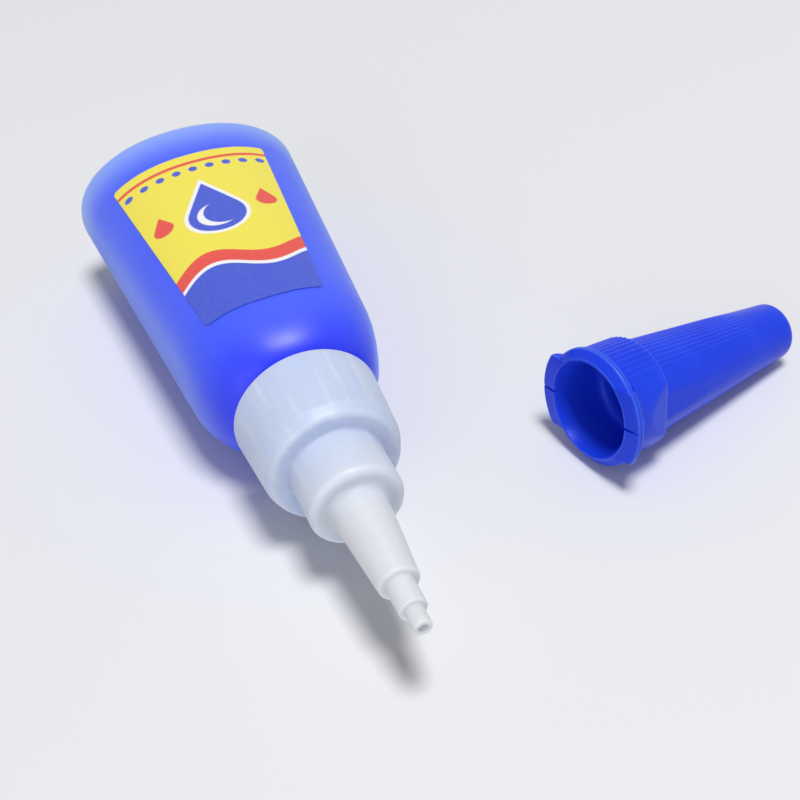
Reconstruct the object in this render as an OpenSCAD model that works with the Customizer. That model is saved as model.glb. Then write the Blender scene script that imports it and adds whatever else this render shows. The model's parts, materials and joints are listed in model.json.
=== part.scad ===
// Squeeze bottle of instant adhesive, lying on its back with its cap taken off and laid beside it.
// Lengths are in millimetres. The origin is the centre of the bottle's base. The bottle's axis runs
// along -Y to the tip of the spout, and +Z is up, out of the bottle's labelled front.

/* [Bottle] */
// Height of the body, from its base to its shoulder
body_len = 55.5; // [46:0.5:66]
// Width of the body at its base
base_w = 33.4; // [27:0.2:40]
// Width of the body's taper at the top of its shoulder
shoulder_w = 23.2; // [21:0.2:28]
// Depth of the body, from front to back
body_d = 21.8; // [19:0.2:25]
// Power of the oval section at the base: 2 is an ellipse, and more is squarer
base_power = 2.1; // [2:0.05:3]
// Power of the oval section where the shoulder starts and the front and back are flatter
shoulder_power = 2.6; // [2:0.05:4]
// Power of the oval section at the top of the shoulder
top_power = 2; // [2:0.05:3]
// Rounding of the edge of the base
base_round = 2.4; // [1.5:0.1:4]
// Height of the shoulder's rounding
shoulder_drop = 9; // [6:0.1:12]
// Width of the shoulder's rounding
shoulder_in = 4; // [2.5:0.1:4.2]
// Thickness of the blown wall
body_wall = 1; // [0.6:0.05:1.4]

/* [Neck] */
// Diameter of the neck at the root of its screw thread
neck_d = 13.2; // [12:0.1:14]
// Thickness of the neck's wall
neck_wall = 1.4; // [1:0.05:2]

/* [Label] */
// Distance from the base to the label's broad edge
label_start = 9.7; // [6:0.1:12]
// Length of the label along the bottle
label_len = 36.8; // [28:0.2:40]
// Width of the label at its broad edge
label_broad_w = 22.2; // [16:0.2:24]
// Width of the label at its narrow edge
label_narrow_w = 15.2; // [12:0.2:18]
// How far the label is stuck off the middle of the front
label_shift = -0.85; // [-2:0.05:2]
// Rounding of the label's corners
label_round = 0.6; // [0.4:0.1:2]
// Thickness of the label
label_t = 0.1; // [0.06:0.01:0.2]
// Thickness of the film of glue under the label
label_film = 0.03; // [0.02:0.01:0.06]

/* [Adhesive] */
// Level of the adhesive above the bottle's axis as the bottle lies
fill_level = 4; // [-4:0.5:6]
// Room between the adhesive and the wall
fill_gap = 0.2; // [0.1:0.05:0.4]

/* [Collar] */
// Gap between the shoulder and the collar's rear rim
collar_gap = 0.6; // [0.3:0.1:1.2]
// Length of the collar
collar_len = 10.9; // [9:0.1:13]
// Diameter of the collar at its rear rim
collar_rear_d = 18.6; // [17.4:0.1:20]
// Diameter of the collar where its front bevel starts
collar_front_d = 17.2; // [16.4:0.1:18]
// Length of the bevel at the collar's front
collar_bevel = 1.6; // [1:0.1:2]
// Depth of the bevel at the collar's front
collar_bevel_in = 0.6; // [0.3:0.05:0.8]
// Depth of the ledge where the bevel starts
collar_ledge = 0.12; // [0.05:0.01:0.2]
// Rounding of the collar's front edge
collar_round = 0.5; // [0.3:0.05:0.7]
// Thickness of the web that closes the collar's front
web_t = 1.5; // [1:0.1:2]
// Room between the neck and the collar for the screw thread
thread_room = 0.7; // [0.5:0.05:0.8]
// Clearance between the end of the neck and the web
neck_seat = 0.05; // [0.02:0.01:0.1]

/* [Plug] */
// Radial clearance of the plug in the neck
plug_fit = 0.05; // [0.02:0.01:0.1]
// Depth of the plug in the neck
plug_len = 2.4; // [1.5:0.1:4]
// Thickness of the plug's wall
plug_wall = 0.8; // [0.5:0.05:1.2]

/* [Spout] */
// Diameter of the step that the cap pushes onto
step_d = 11.5; // [10.5:0.1:12.5]
// Length of the step
step_len = 7.2; // [6:0.1:9]
// Rounding of the step's front edge
step_round = 0.9; // [0.5:0.05:1.3]
// Thickness of the step's wall
step_wall = 1.2; // [0.8:0.05:1.6]
// Diameter of the spout at its root
spout_root_d = 6.9; // [6:0.1:8]
// Diameter of the spout at its front
spout_front_d = 4.8; // [4.2:0.1:5.4]
// Length of the spout's taper
spout_len = 12.2; // [9:0.1:16]
// Fillet at the spout's root
spout_fillet = 0.8; // [0.4:0.05:1]
// Rounding of the spout's front edge
spout_round = 0.4; // [0.2:0.05:0.5]
// Thickness of the spout's wall
spout_wall = 1; // [0.7:0.05:1.2]
// Diameter of the first step of the tip
tip_d = 3.3; // [3:0.1:3.8]
// Length of the first step of the tip
tip_len = 3.8; // [2.5:0.1:5]
// Diameter of the second step of the tip
end_d = 2.2; // [2:0.05:2.6]
// Length of the second step of the tip
end_len = 2.6; // [1.5:0.1:4]
// Diameter of the orifice
orifice_d = 1.1; // [0.8:0.05:1.3]

/* [Cap] */
// Radial clearance of the cap's bore on the spout's step
cap_fit = 0.05; // [0.02:0.01:0.1]
// Thickness of the sleeve's wall
sleeve_wall = 1.45; // [1.2:0.05:2]
// How far the sleeve runs past the front of the spout's step
sleeve_past = 0.3; // [0:0.05:0.6]
// How far the sleeve tapers in over its length
sleeve_draft = 0.15; // [0.05:0.05:0.3]
// Chamfer of the sleeve's back edge
sleeve_chamfer = 0.3; // [0.2:0.05:0.5]
// How far the cone stands in from the sleeve
cone_in = 0.85; // [0.6:0.05:1.1]
// Diameter of the closed end
cap_end_d = 7.7; // [6:0.1:9]
// Rounding of the closed end
cap_end_round = 1; // [0.5:0.1:1.5]
// Thickness of the cone's wall
cone_wall = 1.3; // [1:0.05:1.5]
// Thickness of the closed end
cap_end_wall = 1.2; // [0.8:0.1:2]
// Room between the spout's tip and the closed end
cap_end_room = 6.3; // [4:0.1:9]
// Widening of the bore at the mouth
mouth_flare = 0.5; // [0.3:0.05:0.7]
// Width of the flat lip round the mouth
mouth_lip = 0.25; // [0.15:0.05:0.4]

/* [Cap rim] */
// How far the rim stands out from the sleeve
rim_out = 0.45; // [0.3:0.05:0.6]
// Length of the rim
rim_len = 1.4; // [1.2:0.1:2.5]
// Length of the bevel at the rim's front
rim_bevel = 0.9; // [0.5:0.05:1.2]
// How far a tab stands out from the sleeve
tab_out = 1.35; // [1:0.05:1.6]
// Length of a tab
tab_len = 1; // [0.8:0.1:1.6]
// How far a tab's front is set back from the lip
tab_set = 0.05; // [0.03:0.01:0.1]
// Length of the bevel at a tab's front
tab_bevel = 0.3; // [0.2:0.05:0.5]
// Angle that a tab covers
tab_angle = 72; // [50:1:90]
// Width of the slit in a tab
slit_w = 0.3; // [0.2:0.05:0.5]
// Depth of the slit in a tab
slit_depth = 0.4; // [0.3:0.05:0.8]

/* [Cap grip] */
// Number of ribs on each side of the cap
rib_count = 14; // [8:1:16]
// Angle between one rib and the next
rib_pitch = 6.4; // [5.5:0.1:7]
// Share of the pitch that a rib covers
rib_share = 0.5; // [0.35:0.05:0.65]
// Height of a rib
rib_h = 0.18; // [0.1:0.01:0.25]
// Bare length of the cone before the closed end
rib_bare = 6; // [3:0.5:10]
// Length over which a rib fades out
rib_fade = 3; // [2:0.5:5]
// Distance from the mouth to the start of a flat
flat_start = 3.6; // [2.6:0.1:4.5]
// Depth of a flat in the foot of the cone
flat_bite = 0.25; // [0.15:0.05:0.4]
// Length of a flat on the cone
flat_len = 10.7; // [7:0.1:14]

/* [Cap pin] */
// Radial clearance of the pin in the orifice
pin_fit = 0.05; // [0.02:0.01:0.1]
// Depth of the pin in the orifice
pin_depth = 1.5; // [0.8:0.1:2.2]

/* [Cap place] */
// Distance across from the bottle's axis to the cap's mouth
cap_across = 32; // [28:0.5:60]
// Distance along from the bottle's base to the cap's mouth
cap_along = 68.5; // [40:0.5:90]
// Heading of the cap's closed end from the X axis
cap_heading = 13; // [0:1:40]
// Turn of the cap about its own axis
cap_roll = 11; // [-20:1:20]

/* [Hidden] */
$fn = 96;

// Sides of the lofted sections, step of their round edges and rings between the edges
loft_sides = 64;
loft_turn = 15;
loft_bands = 4;
label_cols = 20;
label_rows = 16;
corner_turn = 30;
arc_turn = 15;
// Overlap of pieces of one moulding, and reach of cutters past what they cut
lap = 0.4;
reach = 2;

half_d = body_d / 2;
neck_r = neck_d / 2;
neck_bore_r = neck_r - neck_wall;
shoulder_z = body_len - shoulder_drop;
neck_root_z = body_len - 2 * body_wall;
collar_z = body_len + collar_gap;
web_z = collar_z + collar_len - web_t;
neck_end_z = web_z - neck_seat;
collar_front_z = collar_z + collar_len;
step_r = step_d / 2;
step_front_z = collar_front_z + step_len;
spout_front_z = step_front_z + spout_len;
tip_front_z = spout_front_z + tip_len;
end_z = tip_front_z + end_len;
spout_out = end_z - collar_front_z;

bore_r = step_r + cap_fit;
sleeve_r = bore_r + sleeve_wall;
sleeve_mid_r = bore_r + sleeve_wall / 2;
sleeve_back_r = sleeve_r - sleeve_draft;
sleeve_len = step_len + sleeve_past;
cone_foot_r = sleeve_back_r - cone_in;
cap_end_r = cap_end_d / 2;
cap_len = spout_out + cap_end_room + cap_end_wall;
rim_r = sleeve_r + rim_out;
tab_r = sleeve_r + tab_out;
mouth_r = bore_r + mouth_flare;
seat_z = step_len - step_round + mouth_flare;
lip_r = mouth_r + mouth_lip;
chamfer_z = sleeve_len - sleeve_chamfer;
rib_back_z = sleeve_len - sleeve_chamfer / 2;
rib_end_z = cap_len - rib_bare;
rib_fade_z = rib_end_z - rib_fade;
pin_r = orifice_d / 2 - pin_fit;
pin_z = spout_out - pin_depth;

// The cap lies on the back edge of its sleeve or on its rim, and on its closed end
end_ring = [cap_len - cap_end_round, cap_end_r - cap_end_round];
function lie(z, r) = let (d = norm([end_ring[0] - z, r - end_ring[1]]))
    atan2(r - end_ring[1], end_ring[0] - z) - asin(cap_end_round / d);
cap_tilt = max(lie(rim_len, rim_r), lie(rib_back_z, sleeve_back_r + rib_h));
cap_z = end_ring[0] * sin(cap_tilt) + end_ring[1] * cos(cap_tilt) + cap_end_round - half_d;

// Points of an arc about a centre, from one angle to another
function arc(centre, r, from, to) = let (n = ceil(abs(to - from) / arc_turn))
    [for (i = [0:n]) centre + r * [cos(from + (to - from) * i / n), sin(from + (to - from) * i / n)]];

// Half the body's width at a height
function half_w(z) = (base_w + (shoulder_w - base_w) * z / body_len) / 2;

// Power of the body's oval section at a height
function power(z) = z < shoulder_z ? base_power + (shoulder_power - base_power) * z / shoulder_z :
    shoulder_power + (top_power - shoulder_power) * (z - shoulder_z) / shoulder_drop;

// How far the shoulder's rounding draws the body in at a height
function draw_in(z) = z < shoulder_z ? 0 :
    shoulder_in * (1 - sqrt(1 - pow((z - shoulder_z) / shoulder_drop, 2)));

// One turn of the body's oval section at a height, drawn in by an inset
function bow(v, n) = sign(v) * pow(abs(v), 2 / n);
function oval(z, inset) = [for (i = [0:loft_sides - 1]) let (t = 360 * i / loft_sides, n = power(z))
    [(half_w(z) - inset) * bow(cos(t), n), (half_d - inset) * bow(sin(t), n), z]];

// Height and inset of each ring of the body, with its skin moved in by a depth
function body_rings(depth) = let (rb = base_round - depth, low = base_round, high = shoulder_z,
    drop = shoulder_drop - depth, rs = shoulder_in - depth) concat(
        [for (t = [0:loft_turn:90]) [low - rb * cos(t), depth + rb * (1 - sin(t))]],
        [for (k = [1:loft_bands]) [low + (high - low) * k / (loft_bands + 1), depth]],
        [for (t = [0:loft_turn:90]) [high + drop * sin(t), depth + rs * (1 - cos(t))]]);

// Faces of a closed loft of rings with the same number of sides
function loft_faces(rings, sides) = concat(
    [[for (i = [0:sides - 1]) i], [for (i = [0:sides - 1]) rings * sides - 1 - i]],
    [for (k = [0:rings - 2], i = [0:sides - 1]) let (j = (i + 1) % sides)
        [k * sides + i, (k + 1) * sides + i, (k + 1) * sides + j]],
    [for (k = [0:rings - 2], i = [0:sides - 1]) let (j = (i + 1) % sides)
        [k * sides + i, (k + 1) * sides + j, k * sides + j]]);

// The body's form with its skin moved in by a depth
module body_form(depth) {
    rings = body_rings(depth);
    polyhedron([for (r = rings) each oval(r[0], r[1])], loft_faces(len(rings), loft_sides));
}

// Lays what is drawn upright on its back, with its front up
module laid() {
    rotate([90, 0, 0]) children();
}

module bottle() {
    color("royalblue") laid() difference() {
        union() {
            body_form(0);
            translate([0, 0, neck_root_z]) cylinder(r = neck_r, h = neck_end_z - neck_root_z);
        }
        body_form(body_wall);
        translate([0, 0, neck_root_z]) cylinder(r = neck_bore_r, h = neck_end_z);
    }
}

// Height and half width of each row of the label, with round corners
function label_half(v) = (label_broad_w + (label_narrow_w - label_broad_w) * v / label_len) / 2;
function label_ring() = concat(
    [for (t = [0:corner_turn:90 - corner_turn]) [label_round * (1 - cos(t)), label_round * (1 - sin(t))]],
    [for (k = [0:label_rows]) [label_round + (label_len - 2 * label_round) * k / label_rows, 0]],
    [for (t = [corner_turn:corner_turn:90])
        [label_len - label_round * (1 - sin(t)), label_round * (1 - cos(t))]]);

// A point of the body's front at a place across and up it, raised by a height
function front(x, z, rise) = let (n = power(z), lift = rise - draw_in(z))
    [x, (half_d + lift) * pow(1 - pow(abs(x) / (half_w(z) + lift), n), 1 / n), z];
function label_skin(rise) = [for (row = label_ring(), i = [0:label_cols])
    let (w = label_half(row[0]) - row[1])
    front(label_shift + w * (2 * i / label_cols - 1), label_start + row[0], rise)];

module label() {
    rows = len(label_ring());
    cols = label_cols + 1;
    top = rows * cols;
    edge = concat([for (i = [0:cols - 1]) i], [for (k = [1:rows - 1]) k * cols + cols - 1],
        [for (i = [1:cols - 1]) top - 1 - i], [for (k = [1:rows - 2]) (rows - 1 - k) * cols]);
    cells = [for (k = [0:rows - 2], i = [0:cols - 2]) k * cols + i];
    points = concat(label_skin(label_film), label_skin(label_film + label_t));
    faces = concat(
        [for (c = cells) each [[c, c + 1, c + cols + 1], [c, c + cols + 1, c + cols]]],
        [for (c = cells) let (t = top + c) each [[t, t + cols + 1, t + 1], [t, t + cols, t + cols + 1]]],
        [for (i = [0:len(edge) - 1]) let (a = edge[i], b = edge[(i + 1) % len(edge)])
            each [[a, top + a, top + b], [a, top + b, b]]]);
    color("gold") laid() polyhedron(points, faces);
}

module adhesive() {
    color("lightcyan") laid() intersection() {
        body_form(body_wall + fill_gap);
        translate([-base_w / 2, -half_d, 0]) cube([base_w, half_d + fill_level, body_len]);
    }
}

// Half of the nozzle's outer section, from its rear rim to the tip
function nozzle_outline() = let (
    bevel_z = collar_front_z - collar_bevel, front_r = collar_front_d / 2, edge_r = front_r - collar_bevel_in,
    root_r = spout_root_d / 2, mouth = spout_front_d / 2) concat(
        [[0, collar_z], [collar_rear_d / 2, collar_z], [front_r, bevel_z], [front_r - collar_ledge, bevel_z]],
        arc([edge_r - collar_round, collar_front_z - collar_round], collar_round, 20, 90),
        [[step_r, collar_front_z]],
        arc([step_r - step_round, step_front_z - step_round], step_round, 0, 90),
        arc([root_r + spout_fillet, step_front_z + spout_fillet], spout_fillet, 270, 180),
        arc([mouth - spout_round, spout_front_z - spout_round], spout_round, 0, 90),
        [[tip_d / 2, spout_front_z], [tip_d / 2, tip_front_z], [end_d / 2, tip_front_z], [end_d / 2, end_z],
            [0, end_z]]);

// Half of the socket behind the web, which leaves the plug standing
function socket_outline() = let (r = neck_r + thread_room, plug_r = neck_bore_r - plug_fit)
    [[0, collar_z - reach], [r, collar_z - reach], [r, web_z], [plug_r, web_z], [plug_r, web_z - plug_len],
        [0, web_z - plug_len]];

// Half of the passage from the plug to the orifice
function passage_outline() = let (plug_in = neck_bore_r - plug_fit - plug_wall, mid = web_z + web_t / 2)
    [[0, collar_z - reach], [plug_in, collar_z - reach], [plug_in, mid], [step_r - step_wall, mid],
        [step_r - step_wall, step_front_z - step_wall], [spout_root_d / 2 - spout_wall, step_front_z],
        [spout_front_d / 2 - spout_wall, spout_front_z - spout_wall], [orifice_d / 2, spout_front_z],
        [orifice_d / 2, end_z + reach], [0, end_z + reach]];

module nozzle() {
    color("lavender") laid() rotate_extrude() difference() {
        polygon(nozzle_outline());
        polygon(socket_outline());
        polygon(passage_outline());
    }
}

// Radius of the cone's outside at a distance from the mouth
function cone_r(z) = cone_foot_r + (cap_end_r - cone_foot_r) * (z - sleeve_len) / (cap_len - sleeve_len);

// Half of the cap's outer section, without tabs and ribs
function cap_outline() = concat(
    [[0, 0], [lip_r, 0], [rim_r, rim_bevel], [rim_r, rim_len], [sleeve_r, rim_len + rim_out],
        [sleeve_back_r, chamfer_z], [sleeve_back_r - sleeve_chamfer, sleeve_len], [cone_foot_r, sleeve_len]],
    arc([end_ring[1], end_ring[0]], cap_end_round, 0, 90), [[0, cap_len]]);

// Half of the cap's hollow, from the mouth to the closed end
function hollow_outline() = let (foot_r = cone_r(seat_z) - cone_wall)
    [[0, -reach], [mouth_r + reach, -reach], [mouth_r, 0], [bore_r, mouth_flare], [bore_r, seat_z],
        [foot_r, seat_z + bore_r - foot_r], [cap_end_r - cone_wall, cap_len - cap_end_wall],
        [0, cap_len - cap_end_wall]];

// One tab, centred on the X axis
module tab() {
    rotate([0, 0, -tab_angle / 2]) rotate_extrude(angle = tab_angle)
        polygon([[sleeve_mid_r, tab_set], [tab_r, tab_bevel], [tab_r, tab_len],
            [sleeve_mid_r, tab_len + tab_r - sleeve_mid_r]]);
}

// One rib along the sleeve and one along the cone behind it, centred on the X axis
module rib() {
    turn = rib_pitch * rib_share;
    start = sleeve_len - lap;
    rotate([0, 0, -turn / 2]) rotate_extrude(angle = turn) {
        polygon([[sleeve_mid_r, rim_bevel], [sleeve_r + rib_h, rim_bevel],
            [sleeve_back_r + rib_h, rib_back_z], [sleeve_mid_r, rib_back_z]]);
        polygon([[cone_foot_r - lap, start], [cone_r(start) + rib_h, start],
            [cone_r(rib_fade_z) + rib_h, rib_fade_z], [cone_r(rib_end_z) - lap, rib_end_z]]);
    }
}

// What a flat takes off the side that faces X: a ramp down the sleeve, then a plane along the cone
module flat_cut() {
    foot = [cone_foot_r - flat_bite, sleeve_len];
    tip = [cone_r(sleeve_len + flat_len), sleeve_len + flat_len];
    past = tip + (tip - foot) * reach / flat_len;
    translate([0, tab_r, 0]) rotate([90, 0, 0]) linear_extrude(2 * tab_r)
        polygon([[sleeve_r, flat_start], foot, past, [tab_r, past[1]], [tab_r, flat_start]]);
}

module cap() {
    color("mediumblue") translate([cap_across, -cap_along, cap_z]) rotate([0, 0, cap_heading])
        rotate([0, 90 + cap_tilt, 0]) rotate([0, 0, 90 - cap_roll]) {
            difference() {
                union() {
                    rotate_extrude() polygon(cap_outline());
                    for (side = [0, 180]) rotate([0, 0, side]) tab();
                    for (side = [90, 270], k = [0:rib_count - 1])
                        rotate([0, 0, side + rib_pitch * (k - (rib_count - 1) / 2)]) rib();
                }
                rotate_extrude() polygon(hollow_outline());
                for (side = [0, 180]) rotate([0, 0, side]) {
                    flat_cut();
                    translate([bore_r, -slit_w / 2, -reach]) cube([tab_r, slit_w, reach + slit_depth]);
                }
            }
            translate([0, 0, pin_z]) cylinder(r = pin_r, h = cap_len - cap_end_wall + lap - pin_z);
        }
}

bottle();
label();
adhesive();
nozzle();
cap();
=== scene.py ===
"""Dresses a lying squeeze bottle of instant adhesive and the cap that was taken off it.

Lengths in the classes are millimetres, as on a drawing, and meshes are metres in the frame's axes: the bottle's
axis runs along -Y from the middle of its base, and +Z is up, out of its labelled front.
"""
import json
import logging
import math
from dataclasses import dataclass, field, fields, replace
from enum import Enum
from typing import Any, Iterable, Optional, Union

import bpy
import numpy as np
from mathutils import Matrix, Vector


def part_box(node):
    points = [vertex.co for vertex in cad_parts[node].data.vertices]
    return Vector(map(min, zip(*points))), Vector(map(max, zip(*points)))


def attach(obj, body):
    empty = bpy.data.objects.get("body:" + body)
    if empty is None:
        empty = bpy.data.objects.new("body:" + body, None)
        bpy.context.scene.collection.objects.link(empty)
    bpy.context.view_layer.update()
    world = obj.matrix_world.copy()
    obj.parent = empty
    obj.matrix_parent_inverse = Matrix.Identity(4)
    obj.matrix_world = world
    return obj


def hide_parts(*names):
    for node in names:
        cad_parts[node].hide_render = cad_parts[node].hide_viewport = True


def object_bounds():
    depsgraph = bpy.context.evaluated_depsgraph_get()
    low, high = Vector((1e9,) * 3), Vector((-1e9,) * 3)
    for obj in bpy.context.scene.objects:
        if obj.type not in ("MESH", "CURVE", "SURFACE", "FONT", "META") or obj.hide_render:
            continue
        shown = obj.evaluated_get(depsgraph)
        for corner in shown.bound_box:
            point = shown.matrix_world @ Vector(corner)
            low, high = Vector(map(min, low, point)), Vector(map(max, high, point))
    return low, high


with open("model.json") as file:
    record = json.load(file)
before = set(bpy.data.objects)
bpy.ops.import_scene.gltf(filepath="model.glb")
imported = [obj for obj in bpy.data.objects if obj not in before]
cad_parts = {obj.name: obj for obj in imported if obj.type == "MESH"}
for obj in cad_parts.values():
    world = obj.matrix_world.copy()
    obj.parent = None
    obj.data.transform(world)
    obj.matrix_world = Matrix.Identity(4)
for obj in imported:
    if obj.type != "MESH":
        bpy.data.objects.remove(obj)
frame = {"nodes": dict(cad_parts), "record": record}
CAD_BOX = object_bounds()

log = logging.getLogger("glue_bottle")

MM = 0.001
Pair = tuple[float, float]
Triple = tuple[float, float, float]
Colour = Triple
Number = Union[float, "Value"]

# The pale colour of the surround and of the far board
SURROUND: Colour = (0.81, 0.817, 0.842)
# Degrees between two faces from which their edge is drawn hard
HARD_EDGE = 38.0
# Most of a side that a rounding may take up
ROUNDING_REACH = 0.48
# Shortest step of an outline, in millimetres, that its turn is measured over
SHORTEST_STEP = 1e-4
# What is added to a row's number before it is rounded down, and the distance in metres at which points are merged
ROW_SLACK = 1e-4
MERGE_WITHIN = 1e-6
# Cosine from which the parting ridge starts to rise
RIDGE_FROM = 0.9985
# Softness of the cap's tabs and slits in millimetres, and of its ribbed sides in radians
TAB_EDGE = 0.12
SLIT_EDGE = 0.05
RIB_EDGE = 0.001
# A thread's steps to a turn, the share of it that runs out, the size it runs out to, and its foot and crest widths
THREAD_STEPS = 72
THREAD_RUN_OUT = 0.08
THREAD_END = 0.06
THREAD_FOOT = 1.25
THREAD_CREST = 0.75
# A Mix node's colour inputs and its colour output, by number because each name stands for several sockets
MIX_COLOURS = (6, 7)
MIX_RESULT = 2


class Slot(Enum):
    """The record's material slots, named for the dressed pieces."""

    BOTTLE = "bottle_blue"
    LABEL = "label_film"
    NOZZLE = "nozzle_natural"
    CAP = "cap_blue"


class Body(Enum):
    """The frame's moving bodies."""

    BOTTLE = "bottle"
    NOZZLE = "nozzle"
    CAP = "cap"


class Value:
    """A number that flows through a node tree, with arithmetic that adds Math nodes."""

    def __init__(self, tree: bpy.types.NodeTree, socket: bpy.types.NodeSocket) -> None:
        """Wraps an output socket of a tree."""
        self.tree = tree
        self.socket = socket

    def math(self, operation: str, *others: Number, clamp: bool = False) -> "Value":
        """Adds one Math node.

        Args:
            operation: The Math node's operation.
            others: The second and third operands, as numbers or values.
            clamp: Whether the result stays between 0 and 1.

        Returns:
            The node's result.
        """
        node = self.tree.nodes.new("ShaderNodeMath")
        node.operation = operation
        node.use_clamp = clamp
        for socket, operand in zip(node.inputs, (self, *others)):
            if isinstance(operand, Value):
                self.tree.links.new(operand.socket, socket)
            else:
                socket.default_value = operand
        return Value(self.tree, node.outputs[0])

    def reflected(self, operation: str, first: float) -> "Value":
        """Adds a Math node whose first operand is a plain number.

        Args:
            operation: The Math node's operation.
            first: The first operand.

        Returns:
            The node's result.
        """
        node = self.tree.nodes.new("ShaderNodeMath")
        node.operation = operation
        node.inputs[0].default_value = first
        self.tree.links.new(self.socket, node.inputs[1])
        return Value(self.tree, node.outputs[0])

    def __add__(self, other: Number) -> "Value":
        """Returns the sum."""
        return self.math("ADD", other)

    __radd__ = __add__

    def __sub__(self, other: Number) -> "Value":
        """Returns the difference."""
        return self.math("SUBTRACT", other)

    def __rsub__(self, other: float) -> "Value":
        """Returns the difference from a plain number."""
        return self.reflected("SUBTRACT", other)

    def __mul__(self, other: Number) -> "Value":
        """Returns the product."""
        return self.math("MULTIPLY", other)

    __rmul__ = __mul__

    def __truediv__(self, other: Number) -> "Value":
        """Returns the quotient."""
        return self.math("DIVIDE", other)

    def __rtruediv__(self, other: float) -> "Value":
        """Returns a plain number divided by this value."""
        return self.reflected("DIVIDE", other)

    def __pow__(self, other: Number) -> "Value":
        """Returns the power."""
        return self.math("POWER", other)

    def __neg__(self) -> "Value":
        """Returns the negative."""
        return self.math("MULTIPLY", -1.0)

    def __abs__(self) -> "Value":
        """Returns the absolute value."""
        return self.math("ABSOLUTE")

    def sin(self) -> "Value":
        """Returns the sine."""
        return self.math("SINE")

    def cos(self) -> "Value":
        """Returns the cosine."""
        return self.math("COSINE")

    def sign(self) -> "Value":
        """Returns -1, 0 or 1."""
        return self.math("SIGN")

    def smallest(self, other: Number) -> "Value":
        """Returns the smaller of two values."""
        return self.math("MINIMUM", other)

    def largest(self, other: Number) -> "Value":
        """Returns the larger of two values."""
        return self.math("MAXIMUM", other)

    def centred(self) -> "Value":
        """Returns the value less a half, so that noise goes both ways."""
        return self - 0.5

    def ramp(self, low: float, high: float) -> "Value":
        """Adds a smooth step from one value to another.

        Args:
            low: Where the result is 0.
            high: Where the result is 1, which may be below low.

        Returns:
            The node's result, from 0 to 1.
        """
        node = self.tree.nodes.new("ShaderNodeMapRange")
        node.interpolation_type = "SMOOTHSTEP"
        flip = low > high
        node.inputs["From Min"].default_value = min(low, high)
        node.inputs["From Max"].default_value = max(low, high)
        node.inputs["To Min"].default_value = float(flip)
        node.inputs["To Max"].default_value = float(not flip)
        self.tree.links.new(self.socket, node.inputs["Value"])
        return Value(self.tree, node.outputs["Result"])


class Graph:
    """A node tree that nodes are added to by one method."""

    def __init__(self, tree: bpy.types.NodeTree) -> None:
        """Wraps a tree."""
        self.tree = tree

    def add(self, kind: str, settings: Optional[dict[str, Any]] = None, **sockets: Any) -> bpy.types.Node:
        """Adds a node.

        Args:
            kind: The node's type.
            settings: Attributes that are set before its sockets.
            sockets: Values or links by socket name, with _ for a space, or by index as i0, i1 and on.

        Returns:
            The node.
        """
        node = self.tree.nodes.new(kind)
        for name, setting in (settings or {}).items():
            setattr(node, name, setting)
        for name, given in sockets.items():
            known = name[1:].isdigit() and name[0] == "i"
            self.feed(node.inputs[int(name[1:])] if known else node.inputs[name.replace("_", " ")], given)
        return node

    def feed(self, socket: bpy.types.NodeSocket, given: Any) -> None:
        """Links something to an input, or sets the input's own value.

        Args:
            socket: The input.
            given: A value, node or socket to link, or a plain setting.
        """
        if isinstance(given, Value):
            self.tree.links.new(given.socket, socket)
        elif isinstance(given, bpy.types.NodeSocket):
            self.tree.links.new(given, socket)
        elif isinstance(given, bpy.types.Node):
            self.tree.links.new(given.outputs[0], socket)
        else:
            socket.default_value = given

    def value(self, node: bpy.types.Node, output: Union[int, str] = 0) -> Value:
        """Returns one of a node's outputs as a value."""
        return Value(self.tree, node.outputs[output])

    def in_sight(self) -> Value:
        """Tells what the eye sees from what only lights the object.

        Returns:
            1 for a ray from the eye, straight, in gloss or through something clear, and 0 for other light.
        """
        path = self.add("ShaderNodeLightPath")
        mirrored = self.value(path, "Is Glossy Ray").largest(self.value(path, "Is Transmission Ray"))
        return self.value(path, "Is Camera Ray").largest(mirrored)


@dataclass(frozen=True)
class Grain:
    """A noise: its grains' size in millimetres, its stretch and detail, and the ramp that makes patches of it."""

    size: float
    stretch: Triple = (1.0, 1.0, 1.0)
    detail: float = 3.0
    between: Optional[Pair] = None


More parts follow.
